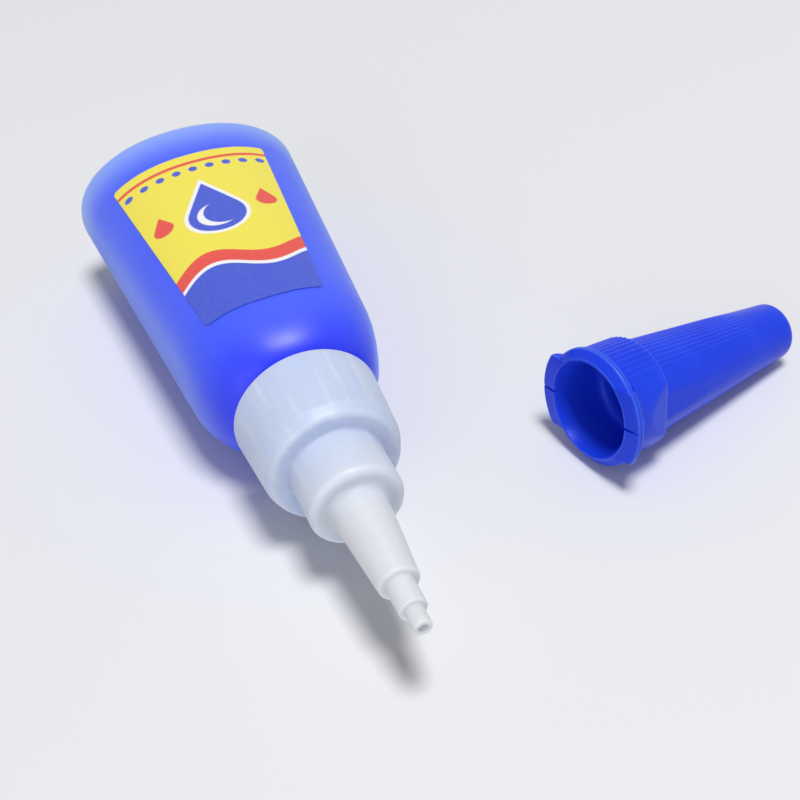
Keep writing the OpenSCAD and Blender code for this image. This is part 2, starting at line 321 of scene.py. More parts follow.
class Paint(Graph):
    """A material with one Principled shader."""

    def __init__(self, name: str, **constants: Any) -> None:
        """Makes the material.

        Args:
            name: The material's name.
            constants: Plain values of the shader's sockets, with _ for a space.
        """
        self.material = bpy.data.materials.new(name)
        self.material.use_nodes = True
        super().__init__(self.material.node_tree)
        self.shader = self.tree.nodes["Principled BSDF"]
        for socket, constant in constants.items():
            self.shader.inputs[socket.replace("_", " ")].default_value = constant

    def place(self, stretch: Triple = (1.0, 1.0, 1.0)) -> bpy.types.Node:
        """Returns the point on the surface in millimetres, stretched for streaks and grain."""
        point = self.add("ShaderNodeTexCoord").outputs["Object"]
        return self.add("ShaderNodeMapping", None, Vector=point, Scale=[s / MM for s in stretch])

    def axes(self) -> tuple[Value, Value, Value]:
        """Returns the point's three coordinates in millimetres."""
        split = self.add("ShaderNodeSeparateXYZ", None, Vector=self.place())
        return self.value(split, 0), self.value(split, 1), self.value(split, 2)

    def noise(self, grain: Grain) -> Value:
        """Adds a noise.

        Args:
            grain: The noise's size, stretch, detail and ramp.

        Returns:
            A value from 0 to 1.
        """
        node = self.add("ShaderNodeTexNoise", None, Vector=self.place(grain.stretch), Scale=1 / grain.size,
                        Detail=grain.detail)
        plain = self.value(node, "Fac")
        return plain.ramp(*grain.between) if grain.between else plain

    def wear_and_highlight(self) -> Value:
        """Returns 1 on the piece's outer edges, which carry wear and a painted edge highlight, and 0 elsewhere."""
        return self.value(self.add("ShaderNodeAttribute", {"attribute_name": "wear_and_highlight"}), "Fac")

    def mix(self, share: Number, first: Any, second: Any) -> bpy.types.NodeSocket:
        """Mixes two colours.

        Args:
            share: 0 for the first colour and 1 for the second.
            first: A colour, or the socket of one.
            second: A colour, or the socket of one.

        Returns:
            The mixed colour's socket.
        """
        node = self.add("ShaderNodeMix", {"data_type": "RGBA"}, i0=share)
        for index, colour in zip(MIX_COLOURS, (first, second)):
            self.feed(node.inputs[index], (*colour, 1.0) if isinstance(colour, tuple) else colour)
        return node.outputs[MIX_RESULT]

    def bump(self, height: Value, depth: float, strength: float = 1.0, under: Any = None) -> bpy.types.Node:
        """Adds a bump.

        Args:
            height: The height from 0 to 1.
            depth: The depth in millimetres that it stands for.
            strength: How strongly it shows.
            under: Another bump that this one lies on.

        Returns:
            The node that gives the normal.
        """
        node = self.add("ShaderNodeBump", None, Height=height, Distance=depth * MM, Strength=strength)
        if under is not None:
            self.feed(node.inputs["Normal"], under)
        return node

    def finish(self, **varying: Any) -> bpy.types.Material:
        """Links what changes over the surface to the shader.

        Args:
            varying: Values or links by socket name, with _ for a space.

        Returns:
            The material.
        """
        for socket, given in varying.items():
            self.feed(self.shader.inputs[socket.replace("_", " ")], given)
        return self.material


@dataclass(frozen=True)
class BlownBlue:
    """Satin blue polyethylene, blown in a mould: die lines along the bottle and a faint orange peel."""

    colour: Colour = (0.046, 0.106, 0.99)
    # Painted shade: the deeper blue that the shoulder takes towards the collar
    deep: Colour = (0.009, 0.03, 0.96)
    # Painted highlight: the paler blue at the base end
    base_highlight: Colour = (0.31, 0.47, 0.98)
    shoulder_from: float = -48.0
    shoulder_to: float = -55.5
    shoulder_share: float = 0.85
    base_to: float = -10.0
    base_share: float = 0.85
    cloud: Grain = Grain(14.0, between=(0.75, 0.3))
    cloud_share: float = 0.15
    roughness: float = 0.42
    lines: Grain = Grain(0.5, (1.0, 0.03, 1.0), 2.0)
    lines_rough: float = 0.08
    lines_depth: float = 0.006
    lines_strength: float = 0.6
    scuff: Grain = Grain(0.8, (0.35, 0.12, 0.35), 5.0, (0.56, 0.72))
    scuff_rough: float = 0.08
    peel: Grain = Grain(1.6)
    peel_depth: float = 0.012

    def material(self) -> bpy.types.Material:
        """Builds the material: painted shade deepening the shoulder towards the collar, a painted highlight paler at
        the base end, with lines, scuffs and peel.

        Returns:
            The material.
        """
        paint = Paint("blown_blue", Subsurface_Weight=0.5, Subsurface_Radius=(0.3, 0.45, 1.0),
                      Subsurface_Scale=0.001, IOR=1.5, Specular_IOR_Level=0.55, Sheen_Weight=0.45,
                      Sheen_Roughness=0.35, Sheen_Tint=(0.45, 0.75, 1.0, 1.0))
        _, along, _ = paint.axes()
        # Painted shade, deepening the blue over the shoulder towards the collar
        shoulder = along.ramp(self.shoulder_from, self.shoulder_to) * self.shoulder_share
        colour = paint.mix(shoulder + paint.noise(self.cloud) * self.cloud_share, self.colour, self.deep)
        # Painted highlight, paler towards the base end
        colour = paint.mix(along.ramp(self.base_to, 0.0) * self.base_share, colour, self.base_highlight)
        lines, scuff = paint.noise(self.lines), paint.noise(self.scuff)
        rough = self.roughness + lines.centred() * self.lines_rough + scuff * self.scuff_rough
        peel = paint.bump(paint.noise(self.peel), self.peel_depth)
        normal = paint.bump(lines, self.lines_depth, self.lines_strength, peel)
        return paint.finish(Base_Color=colour, Roughness=rough, Normal=normal)


@dataclass(frozen=True)
class NaturalMoulding:
    """Natural polyethylene, milky and slightly see-through, bluer where the neck stands behind it."""

    clear: Colour = (0.77, 0.795, 0.85)
    behind: Colour = (0.6, 0.69, 0.96)
    # Pale colour of streaks, scratches and worn edges, which on the edges also paints a highlight
    edge: Colour = (0.9, 0.925, 0.975)
    neck_from: float = -80.0
    neck_to: float = -64.0
    wear_and_highlight_share: float = 0.15
    roughness: float = 0.42
    strength: float = 0.5
    cloud: Grain = Grain(5.0)
    cloud_share: float = 0.35
    cloud_rough: float = 0.12
    streak: Grain = Grain(1.1, (1.0, 0.03, 1.0), 2.0, (0.52, 0.68))
    streak_share: float = 0.22
    scratch: Grain = Grain(0.22, (0.06, 1.0, 0.9), 4.0, (0.62, 0.7))
    scratch_share: float = 0.25
    scratch_rough: float = 0.12
    scratch_depth: float = 0.01
    lines: Grain = Grain(0.35, (1.0, 0.05, 1.0), 2.0)
    lines_depth: float = 0.012

    def material(self) -> bpy.types.Material:
        """Builds the material: bluer over the neck, with pale flow streaks, scratches, and worn edges that also carry
        a painted highlight.

        Returns:
            The material.
        """
        paint = Paint("natural_moulding", Subsurface_Weight=1.0, Subsurface_Radius=(0.9, 0.95, 1.0),
                      Subsurface_Scale=0.0016, IOR=1.5, Transmission_Weight=0.1)
        _, along, _ = paint.axes()
        neck = along.ramp(self.neck_from, self.neck_to)
        cloud, streak, scratch = paint.noise(self.cloud), paint.noise(self.streak), paint.noise(self.scratch)
        over_neck = (neck + cloud.centred() * self.cloud_share).math("ADD", 0.0, clamp=True)
        colour = paint.mix(over_neck, self.clear, self.behind)
        # Paler on streaks, scratches and outer edges; on the edges this is wear and a painted highlight
        pale = paint.wear_and_highlight() * self.wear_and_highlight_share + streak * neck * self.streak_share + scratch * self.scratch_share
        colour = paint.mix(pale.smallest(1.0), colour, self.edge)
        rough = self.roughness + cloud.centred() * self.cloud_rough - scratch * self.scratch_rough
        scratched = paint.bump(scratch, self.scratch_depth, self.strength)
        normal = paint.bump(paint.noise(self.lines), self.lines_depth, self.strength, scratched)
        return paint.finish(Base_Color=colour, Roughness=rough, Normal=normal)


@dataclass(frozen=True)
class GlossBlue:
    """Glossy blue polypropylene with fine handling marks."""

    colour: Colour = (0.011, 0.05, 0.74)
    rubbed: Colour = (0.021, 0.075, 0.82)
    # Paler blue of the outer edges: wear, and a painted edge highlight
    edge: Colour = (0.07, 0.16, 0.84)
    wear_and_highlight_share: float = 0.6
    roughness: float = 0.3
    cloud: Grain = Grain(6.0)
    cloud_ramp: Pair = (0.35, 0.8)
    cloud_share: float = 0.6
    cloud_rough: float = 0.1
    marks: Grain = Grain(0.5, (0.2, 1.0, 1.0), 5.0, (0.58, 0.7))
    marks_share: float = 0.08
    marks_rough: float = 0.04
    grain: Grain = Grain(0.7)
    grain_depth: float = 0.003
    grain_strength: float = 0.5

    def material(self) -> bpy.types.Material:
        """Builds the material: rubbed in patches, marked by handling and paler at its edges, for wear and a painted
        edge highlight.

        Returns:
            The material.
        """
        paint = Paint("gloss_blue", Subsurface_Weight=0.12, Subsurface_Radius=(0.3, 0.45, 1.0),
                      Subsurface_Scale=0.0012, IOR=1.5, Specular_IOR_Level=0.15)
        cloud, marks = paint.noise(self.cloud), paint.noise(self.marks)
        rubbed = cloud.ramp(*self.cloud_ramp) * self.cloud_share + marks * self.marks_share
        colour = paint.mix(rubbed, self.colour, self.rubbed)
        # Paler on the outer edges, for wear and a painted edge highlight
        colour = paint.mix(paint.wear_and_highlight() * self.wear_and_highlight_share, colour, self.edge)
        rough = self.roughness + cloud.centred() * self.cloud_rough + marks * self.marks_rough
        normal = paint.bump(paint.noise(self.grain), self.grain_depth, self.grain_strength)
        return paint.finish(Base_Color=colour, Roughness=rough, Normal=normal)


@dataclass(frozen=True)
class ClearLiquid:
    """Thin clear adhesive with a trace of straw and a few fine bubbles."""

    colour: Colour = (0.9, 0.93, 0.94)
    straw: Colour = (0.93, 0.91, 0.8)
    cloud: Grain = Grain(9.0)
    roughness: float = 0.05
    bubble_pitch: float = 2.5
    bubble_edge: Pair = (0.16, 0.08)
    bubble_rough: float = 0.2
    bubble_depth: float = 0.05

    def material(self) -> bpy.types.Material:
        """Builds the material: clear, clouded with straw, with fine bubbles.

        Returns:
            The material.
        """
        paint = Paint("clear_liquid", Transmission_Weight=0.9, IOR=1.45)
        cells = paint.add("ShaderNodeTexVoronoi", None, Vector=paint.place(), Scale=1 / self.bubble_pitch)
        bubbles = paint.value(cells, "Distance").ramp(*self.bubble_edge)
        colour = paint.mix(paint.noise(self.cloud), self.colour, self.straw)
        normal = paint.bump(bubbles, self.bubble_depth)
        return paint.finish(Base_Color=colour, Roughness=self.roughness + bubbles * self.bubble_rough, Normal=normal)


@dataclass(frozen=True)
class PaleBoard:
    """The pale smooth board that the object lies on, which fades into the surround away from the object."""

    colour: Colour = (0.77, 0.773, 0.79)
    shade: float = 0.985
    cloud: Grain = Grain(60.0)
    middle: Pair = (15.0, -45.0)
    fade_from: float = 110.0
    fade_to: float = 420.0

    def material(self) -> bpy.types.Material:
        """Builds the material: plain round the object, and the surround's colour to the eye farther off.

        Returns:
            The material.
        """
        paint = Paint("pale_board", Roughness=0.6)
        colour = paint.mix(paint.noise(self.cloud), self.colour, tuple(c * self.shade for c in self.colour))
        x, y, _ = paint.axes()
        away = ((x - self.middle[0]) ** 2.0 + (y - self.middle[1]) ** 2.0) ** 0.5
        pale = paint.add("ShaderNodeEmission", None, Color=(*SURROUND, 1.0), Strength=1.0)
        share = away.ramp(self.fade_from, self.fade_to) * paint.in_sight()
        mixed = paint.add("ShaderNodeMixShader", None, i0=share, i1=paint.shader, i2=pale)
        paint.feed(paint.tree.nodes["Material Output"].inputs["Surface"], mixed)
        return paint.finish(Base_Color=colour)


@dataclass(frozen=True)
class PrintedFilm:
    """Satin label film, printed in yellow, red and blue with drops, waves and dots."""

    yellow: Colour = (0.85, 0.74, 0.07)
    red: Colour = (0.76, 0.07, 0.05)
    blue: Colour = (0.045, 0.085, 0.6)
    white: Colour = (0.86, 0.87, 0.88)
    span: float = 40.0
    soft: float = 0.12
    wave_at: float = 25.5
    wave_rise: float = 1.5
    wave_length: float = 15.0
    stripe: float = 2.6
    gap: float = 0.7
    drop_at: float = 16.4
    drop_radius: float = 3.9
    drop_long: float = 2.1
    outline: float = 0.55
    gleam_radius: float = 2.7
    gleam_across: float = 0.95
    gleam_along: float = 0.35
    small_at: float = 15.0
    small_out: float = 7.2
    small_radius: float = 1.4
    dots_at: float = 4.0
    dots_pitch: float = 2.4
    dots_radius: float = 0.62
    rule_at: float = 2.2
    rule_half: float = 0.35
    roughness: float = 0.36
    strength: float = 0.5
    fade: Grain = Grain(0.35, detail=4.0, between=(0.35, 0.75))
    fade_share: float = 0.03
    fade_rough: float = 0.05
    ripple: Grain = Grain(4.5)
    ripple_rough: float = 0.12
    ripple_depth: float = 0.02
    grain: Grain = Grain(0.25)
    grain_depth: float = 0.001

    def drop(self, across: Value, along: Value, radius: float) -> Value:
        """Draws a drop that points towards the broad edge.

        Args:
            across: Distance across from the middle of the drop's round end.
            along: Distance from there towards the narrow edge.
            radius: Half the drop's width.

        Returns:
            The signed distance in millimetres, below 0 inside the drop.
        """
        lean = 1.0 / self.drop_long
        slant = math.sqrt(1.0 - lean ** 2)
        side = abs(across) * slant - along * lean - radius
        on_side = (abs(across) * lean + along * slant).math("LESS_THAN", 0.0)
        round_end = self.disc(across, along, radius)
        return round_end + (side - round_end) * on_side

    def disc(self, across: Value, along: Value, radius: float) -> Value:
        """Returns the signed distance to a disc in millimetres."""
        return (across * across + along * along) ** 0.5 - radius

    def ink(self, distance: Value) -> Value:
        """Returns 1 inside a printed shape and 0 outside, with a soft edge."""
        return distance.ramp(self.soft, -self.soft)

    def shapes(self, across: Value, along: Value) -> list[tuple[Value, Colour]]:
        """Draws the printed shapes.

        Args:
            across: Distance across from the label's middle in millimetres.
            along: Distance from the label's broad edge in millimetres.

        Returns:
            The signed distance and the colour of each shape, in the order of printing.
        """
        wave = along - self.wave_at - (across * (math.tau / self.wave_length)).sin() * self.wave_rise
        below = along - self.drop_at
        large = self.drop(across, below, self.drop_radius)
        hidden = self.disc(across - self.gleam_across, below + self.gleam_along, self.gleam_radius)
        gleam = self.disc(across, below, self.gleam_radius).largest(-hidden)
        small = self.drop(abs(across) - self.small_out, along - self.small_at, self.small_radius)
        step = (across / self.dots_pitch + 0.5).math("FLOORED_MODULO", 1.0).centred() * self.dots_pitch
        return [
            (-wave, self.red), (self.stripe - wave, self.white), (self.stripe + self.gap - wave, self.blue),
            (large - self.outline, self.white), (large, self.blue), (gleam, self.white), (small, self.red),
            (self.disc(step, along - self.dots_at, self.dots_radius), self.blue),
            (abs(along - self.rule_at) - self.rule_half, self.red)]

    def material(self) -> bpy.types.Material:
        """Builds the material: the print on a slightly rippled, faintly faded film.

        Returns:
            The material.
        """
        paint = Paint("printed_film", IOR=1.48)
        split = paint.add("ShaderNodeSeparateXYZ", None, Vector=paint.add("ShaderNodeUVMap", {"uv_map": "print"}))
        across, along = paint.value(split, 0).centred() * self.span, paint.value(split, 1) * self.span
        colour: Any = self.yellow
        for distance, tint in self.shapes(across, along):
            colour = paint.mix(self.ink(distance), colour, tint)
        fade, ripple = paint.noise(self.fade), paint.noise(self.ripple)
        colour = paint.mix(fade * self.fade_share, colour, self.white)
        rough = self.roughness + ripple.centred() * self.ripple_rough + fade * self.fade_rough
        grain = paint.bump(paint.noise(self.grain), self.grain_depth, self.strength)
        normal = paint.bump(ripple, self.ripple_depth, self.strength, grain)
        return paint.finish(Base_Color=colour, Roughness=rough, Normal=normal)


def fillet(corners: Iterable[Triple], loop: bool, turn: float = 10.0) -> list[Pair]:
    """Rounds the corners of an outline.

    Args:
        corners: Radius from the axis, distance along it and rounding of each corner.
        loop: Whether the outline closes on itself.
        turn: Degrees of turn between the points of a rounding.

    Returns:
        The outline's points, the first again at the end of a loop.
    """
    rows = [(np.array(c[:2], float), c[2]) for c in corners]
    points: list[np.ndarray] = []
    for index, (corner, rounding) in enumerate(rows):
        at_end = not loop and index in (0, len(rows) - 1)
        if at_end or rounding <= 0:
            points.append(corner)
            continue
        back, ahead = rows[index - 1][0] - corner, rows[(index + 1) % len(rows)][0] - corner
        back_len, ahead_len = np.linalg.norm(back), np.linalg.norm(ahead)
        back, ahead = back / back_len, ahead / ahead_len
        angle = math.acos(max(-1.0, min(1.0, float(back @ ahead))))
        reach = min(rounding / math.tan(angle / 2), ROUNDING_REACH * min(back_len, ahead_len))
        radius = reach * math.tan(angle / 2)
        bisector = (back + ahead) / np.linalg.norm(back + ahead)
        centre = corner + bisector * radius / math.sin(angle / 2)
        first, last = corner + back * reach - centre, corner + ahead * reach - centre
        sweep = math.pi - angle
        steps = max(2, math.ceil(math.degrees(sweep) / turn))
        for step in range(steps + 1):
            share = step / steps
            blend = (math.sin((1 - share) * sweep) * first + math.sin(share * sweep) * last) / math.sin(sweep)
            points.append(centre + blend)
    if loop:
        points.append(points[0])
    return [(float(p[0]), float(p[1])) for p in points]


def fine(points: list[Pair], step: float) -> list[Pair]:
    """Puts more points on an outline.

    Args:
        points: The outline's points.
        step: The most that neighbours may be apart.

    Returns:
        The old points and the new ones in order.
    """
    out = points[:1]
    for (r0, z0), (r1, z1) in zip(points, points[1:]):
        count = max(1, math.ceil(math.hypot(r1 - r0, z1 - z0) / step))
        out += [(r0 + (r1 - r0) * k / count, z0 + (z1 - z0) * k / count) for k in range(1, count + 1)]
    return out


def spread(points: list[Pair], count: int) -> list[Pair]:
    """Divides an outline evenly.

    Args:
        points: The outline's points.
        count: How many points are wanted.

    Returns:
        That many points at even distances along the outline.
    """
    rows = np.array(points)
    run = np.concatenate(([0.0], np.cumsum(np.hypot(*np.diff(rows, axis=0).T))))
    places = np.linspace(0.0, run[-1], count)
    return list(zip(np.interp(places, run, rows[:, 0]).tolist(), np.interp(places, run, rows[:, 1]).tolist()))


def outer_edges(points: list[Pair], sharp: float = 2.0) -> list[float]:
    """Tells the outer edges of a section from its faces and hollows.

    Args:
        points: The section's outline as radii and distances along the axis, closed on itself or by the axis.
        sharp: Turn per millimetre, in radians, from which an edge counts in full.

    Returns:
        A number from 0 to 1 for each point.
    """
    rows = np.array(points)
    ahead = np.roll(rows, -1, axis=0)
    side = np.sign((rows[:, 0] * ahead[:, 1] - ahead[:, 0] * rows[:, 1]).sum())
    steps = np.diff(rows, axis=0)
    run = np.maximum(np.hypot(*steps.T), SHORTEST_STEP)
    turn = np.diff(np.unwrap(np.arctan2(steps[:, 1], steps[:, 0])))
    bend = side * turn / (run[1:] + run[:-1]) * 2
    return [0.0, *np.clip(bend / sharp, 0.0, 1.0).tolist(), 0.0]


class Shaper(Graph):
    """A geometry tree with named inputs that turns a mesh into a finished plain mesh."""

    def __init__(self, name: str) -> None:
        """Makes an empty tree with a geometry input and output and a material input.

        Args:
            name: The tree's name.
        """
        super().__init__(bpy.data.node_groups.new(name, "GeometryNodeTree"))
        self.known: dict[str, str] = {}
        self.inlet = self.tree.nodes.new("NodeGroupInput")
        self.source = self.input("Source", "NodeSocketGeometry")
        self.tree.interface.new_socket("Shape", in_out="OUTPUT", socket_type="NodeSocketGeometry")
        self.outlet = self.tree.nodes.new("NodeGroupOutput")
        self.finish_input = self.input("Finish", "NodeSocketMaterial")

    def input(self, name: str, kind: str = "NodeSocketFloat") -> Value:
        """Adds a named input.

        Args:
            name: The input's name.
            kind: The type of its socket.

        Returns:
            The input as a value.
        """
        item = self.tree.interface.new_socket(name, in_out="INPUT", socket_type=kind)
        self.known[name] = item.identifier
        return Value(self.tree, self.inlet.outputs[name])

    def attribute(self, name: str) -> bpy.types.NodeSocket:
        """Returns a named attribute of the geometry."""
        return self.add("GeometryNodeInputNamedAttribute", {"data_type": "FLOAT"}, Name=name).outputs["Attribute"]

    def close(self, shape: Any) -> None:
        """Ends the tree: smooth faces, real copies and the finish.

        Args:
            shape: The node that gives the finished geometry.
        """
        smooth = self.add("GeometryNodeSetShadeSmooth", None, Geometry=shape)
        real = self.add("GeometryNodeRealizeInstances", None, Geometry=smooth)
        dressed = self.add("GeometryNodeSetMaterial", None, Geometry=real, Material=self.finish_input)
        self.feed(self.outlet.inputs["Shape"], dressed)

    def make(self, name: str, source: bpy.types.Mesh, finish: bpy.types.Material, **sizes: float) -> bpy.types.Object:
        """Runs the tree.

        Args:
            name: The piece's name.
            source: The mesh that the tree starts from.
            finish: The piece's material.
            sizes: The tree's inputs by name, with _ for a space.

        Returns:
            An object with a plain mesh.
        """
        piece = bpy.data.objects.new(name, source)
        bpy.context.scene.collection.objects.link(piece)
        modifier = piece.modifiers.new("shape", "NODES")
        modifier.node_group = self.tree
        modifier[self.known["Finish"]] = finish
        for socket, size in sizes.items():
            modifier[self.known[socket.replace("_", " ")]] = size
        depsgraph = bpy.context.evaluated_depsgraph_get()
        mesh = bpy.data.meshes.new_from_object(piece.evaluated_get(depsgraph))
        piece.modifiers.remove(modifier)
        piece.data = mesh
        mesh.name = name
        face_out(mesh)
        return piece


def face_out(mesh: bpy.types.Mesh) -> None:
    """Turns a closed mesh's faces outwards and marks its hard edges.

    Args:
        mesh: The mesh, which is changed in place.
    """
    mesh.calc_loop_triangles()
    points = np.empty(len(mesh.vertices) * 3)
    mesh.vertices.foreach_get("co", points)
    corners = np.empty(len(mesh.loop_triangles) * 3, dtype=np.int32)
    mesh.loop_triangles.foreach_get("vertices", corners)
    a, b, c = points.reshape(-1, 3)[corners.reshape(-1, 3)].transpose(1, 0, 2)
    if float((a * np.cross(b, c)).sum()) < 0:
        mesh.flip_normals()
    mesh.set_sharp_from_angle(angle=math.radians(HARD_EDGE))


@dataclass(frozen=True)
class Ring:
    """One ring of a lofted piece: its distance along the axis and its oval section."""

    along: float
    half_wide: float
    half_deep: float
    power: float = 2.0
    ridge: float = 0.0
    # 1 on outer edges, where wear and a painted edge highlight go
    wear_and_highlight: float = 0.0


@dataclass(frozen=True)
class CapRing:
    """One ring of the cap: its plain place, its place in a tab, the flats, the ribs' height and the edges that carry
    wear and a painted highlight.
    """

    along: float
    radius: float
    tab_along: float
    tab_radius: float
    flat: float
    rib: float
    # The outer edges, for wear and a painted edge highlight, in the plain outline and in a tab
    wear_and_highlight: float = 0.0
    tab_wear_and_highlight: float = 0.0


class Loft(Shaper):
    """A geometry tree that draws a ring at every point of a profile and joins the rings into a skin."""

    def __init__(self, name: str) -> None:
        """Makes the grid of rings, with one row for each point of the profile.

        Args:
            name: The tree's name.
        """
        super().__init__(name)
        sides = self.input("Sides", "NodeSocketInt")
        count = self.add("GeometryNodeAttributeDomainSize", {"component": "MESH"}, Geometry=self.source)
        self.grid = self.add("GeometryNodeMeshGrid", None, Vertices_X=count.outputs["Point Count"],
                             Vertices_Y=sides + 1)
        index = self.value(self.add("GeometryNodeInputIndex"))
        self.row = (index / (sides + 1) + ROW_SLACK).math("FLOOR")
        self.angle = (index - self.row * (sides + 1)) / sides * math.tau

    def sample(self, name: str) -> Value:
        """Returns a ring's number for the row that a point is in."""
        node = self.add("GeometryNodeSampleIndex", {"data_type": "FLOAT", "domain": "POINT"},
                        Geometry=self.source, Value=self.attribute(name), Index=self.row)
        return self.value(node)

    def skin(self, x: Value, y: Value, z: Value, wear_and_highlight: Value) -> None:
        """Puts the grid's points in place, marks the edges that carry wear and a painted highlight, and ends the
        tree.

        Args:
            x: The points' first coordinate in millimetres.
            y: The second.
            z: The third.
            wear_and_highlight: 1 on outer edges and 0 elsewhere.
        """
        marked = self.add("GeometryNodeStoreNamedAttribute", {"data_type": "FLOAT", "domain": "POINT"},
                          Geometry=self.grid, Name="wear_and_highlight", Value=wear_and_highlight)
        place = self.add("ShaderNodeCombineXYZ", None, X=x * MM, Y=y * MM, Z=z * MM)
        laid = self.add("GeometryNodeSetPosition", None, Geometry=marked, Position=place)
        self.close(self.add("GeometryNodeMergeByDistance", None, Geometry=laid, Distance=MERGE_WITHIN))


def oval_tree() -> Loft:
    """Builds the tree for oval rings along the bottle's axis, with the mould's parting ridge at both sides.

    Returns:
        The tree, with the number of sides.
    """
    tree = Loft("oval_rings")
    bend = 2.0 / tree.sample("power")
    across, up = tree.angle.cos(), tree.angle.sin()
    ridge = tree.sample("ridge") * abs(across).ramp(RIDGE_FROM, 1.0)
    wide = (tree.sample("half_wide") + ridge) * across.sign() * abs(across) ** bend
    deep = tree.sample("half_deep") * up.sign() * abs(up) ** bend
    tree.skin(wide, -tree.sample("along"), deep, tree.sample("wear_and_highlight"))
    return tree


def cap_tree() -> Loft:
    """Builds the tree for the cap, upright on its mouth with its tabs and flats on the X axis.

    Returns:
        The tree, with the ribs' number and pitch in degrees, and the sizes of tabs, creases and slits in millimetres.
    """
    tree = Loft("cap_rings")
    ribs, pitch = tree.input("Ribs"), tree.input("Rib Pitch") * math.radians(1)
    tab_half, crease = tree.input("Tab Half"), tree.input("Crease")
    slit_half, slit_depth = tree.input("Slit Half"), tree.input("Slit Depth")
    along, radius = tree.sample("along"), tree.sample("radius")
    tab_along, tab_radius = tree.sample("tab_along"), tree.sample("tab_radius")
    cosine, sine = tree.angle.cos(), tree.angle.sin()
    on_tab = (abs(sine * tab_radius) - tab_half).ramp(TAB_EDGE, -TAB_EDGE)
    turn = tree.angle.math("FLOORED_MODULO", math.pi) - math.pi / 2
    wave = 0.5 - (turn * math.tau / pitch).cos() * 0.5
    ribbed = (abs(turn) - ribs * pitch * 0.5).ramp(RIB_EDGE, -RIB_EDGE)
    reach = radius + (tab_radius - radius) * on_tab + tree.sample("rib") * wave * ribbed
    x, y = reach * cosine, reach * sine
    x = cosine.sign() * abs(x).math("SMOOTH_MIN", tree.sample("flat"), crease)
    z = along + (tab_along - along) * on_tab
    z = z + (slit_depth - z).largest(0.0) * (abs(y) - slit_half).ramp(SLIT_EDGE, -SLIT_EDGE)
    # The outer edges, which carry wear and a painted edge highlight, with those of the tabs in the tabs
    wear_and_highlight = tree.sample("wear_and_highlight")
    tree.skin(x, y, z, wear_and_highlight + (tree.sample("tab_wear_and_highlight") - wear_and_highlight) * on_tab)
    return tree


def profile_mesh(name: str, rings: list[Any]) -> bpy.types.Mesh:
    """Makes a mesh with one point for each ring, which holds the ring's numbers.

    Args:
        name: The mesh's name.
        rings: The rings, all of one class.

    Returns:
        The mesh.
    """
    mesh = bpy.data.meshes.new(name)
    mesh.from_pydata([(0.0, -ring.along * MM, 0.0) for ring in rings], [], [])
    for part in fields(rings[0]):
        numbers = [getattr(ring, part.name) for ring in rings]
        mesh.attributes.new(part.name, "FLOAT", "POINT").data.foreach_set("value", numbers)
    return mesh


def thread_tree() -> Shaper:
    """Builds the tree that winds a screw thread round the bottle's axis.

    Returns:
        The tree, with the thread's radius, pitch, turns, start, height and width in millimetres.
    """
    tree = Shaper("screw_thread")
    radius, pitch, turns = tree.input("Radius"), tree.input("Pitch"), tree.input("Turns")
    start, height, width = tree.input("Start"), tree.input("Height"), tree.input("Width")
    helix = tree.add("GeometryNodeCurveSpiral", None, Resolution=THREAD_STEPS, Rotations=turns,
                     Start_Radius=radius * MM, End_Radius=radius * MM, Height=pitch * turns * MM)
    share = tree.value(tree.add("GeometryNodeSplineParameter"), "Factor")
    run_out = share.ramp(0.0, THREAD_RUN_OUT) * share.ramp(1.0, 1.0 - THREAD_RUN_OUT)
    thick = tree.add("GeometryNodeSetCurveRadius", None, Curve=helix,
                     Radius=run_out * (1.0 - THREAD_END) + THREAD_END)
    upright = tree.add("GeometryNodeSetCurveNormal", {"mode": "Z_UP"}, Curve=thick)
    section = tree.add("GeometryNodeCurvePrimitiveQuadrilateral", {"mode": "TRAPEZOID"}, Height=height * (2 * MM),
                       Bottom_Width=width * (THREAD_FOOT * MM), Top_Width=width * (THREAD_CREST * MM), Offset=0.0)
    turned = tree.add("GeometryNodeTransform", None, Geometry=section, Rotation=(0.0, 0.0, math.pi / 2))
    swept = tree.add("GeometryNodeCurveToMesh", None, Curve=upright, Profile_Curve=turned, Fill_Caps=True)
    lift = tree.add("ShaderNodeCombineXYZ", None, Y=start * -MM)
    laid = tree.add("GeometryNodeTransform", None, Geometry=swept, Translation=lift, Rotation=(math.pi / 2, 0.0, 0.0))
    tree.close(laid)
    return tree


def keep(piece: bpy.types.Object, body: Body, slot: Slot, *nodes: str) -> None:
    """Says what a piece is in the frame.

    Args:
        piece: The piece.
        body: The body that it moves with.
        slot: The record's material slot for it; not used.
        nodes: The frame's nodes that it stands for.
    """
    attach(piece, body.value)
    if nodes:
        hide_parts(*nodes)
    log.info("%s: %d faces on %s", piece.name, len(piece.data.polygons), body.value)


def paint_node(name: str, finish: bpy.types.Material) -> None:
    """Gives a node of the frame a better finish.

    Args:
        name: The node's name.
        finish: Its new material.
    """
    mesh = frame["nodes"][name].data
    mesh.materials.clear()
    mesh.materials.append(finish)
    log.info("%s: node of the frame, finish %s", name, finish.name)


@dataclass
class Thread:
    """A screw thread of one moulding."""

    radius: float
    start: float
    turns: float
    pitch: float = 2.4
    height: float = 0.5
    width: float = 0.8

    def build(self, name: str, finish: bpy.types.Material) -> bpy.types.Object:
        """Returns the thread as a piece."""
        seed = bpy.data.meshes.new(name + "_seed")
        return thread_tree().make(name, seed, finish, Radius=self.radius, Pitch=self.pitch, Turns=self.turns,
                                  Start=self.start, Height=self.height, Width=self.width)


